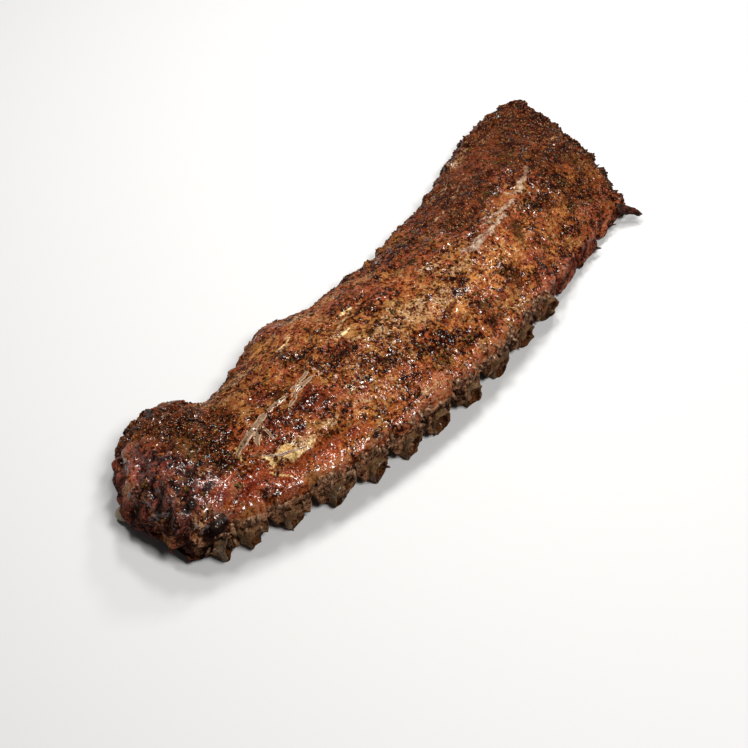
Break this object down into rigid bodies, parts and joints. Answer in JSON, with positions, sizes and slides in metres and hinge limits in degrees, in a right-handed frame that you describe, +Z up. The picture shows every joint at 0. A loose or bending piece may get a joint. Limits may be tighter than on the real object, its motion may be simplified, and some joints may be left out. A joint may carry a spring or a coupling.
{
  "type": "rack of ribs",
  "caption": "Full rack of roast pork back ribs with a dark glazed crust, lying meat side up on its curved bones, with blocky sawn bone ends along one edge.",
  "frame": {"origin": "middle of the rack's footprint, on the surface that it lies on", "axes": "+X along the rack from its thick end to its thin end, +Y across it from the sawn bone ends to the rib tips, +Z up"},
  "size_m": [0.4524, 0.1753, 0.046],
  "materials": {
    "roast_meat": "glossy, wet dark brown roast crust under a dry rub",
    "rib_bone": "roasted bone, greyish tan with browned edges"
  },
  "bodies": {
    "root": {"meat": "roast_meat", "rib_01": "rib_bone", "rib_02": "rib_bone", "rib_03": "rib_bone", "rib_04": "rib_bone", "rib_05": "rib_bone", "rib_06": "rib_bone", "rib_07": "rib_bone", "rib_08": "rib_bone", "rib_09": "rib_bone", "rib_10": "rib_bone", "rib_11": "rib_bone", "rib_12": "rib_bone", "rib_13": "rib_bone", "rib_14": "rib_bone"}
  },
  "joints": []
}
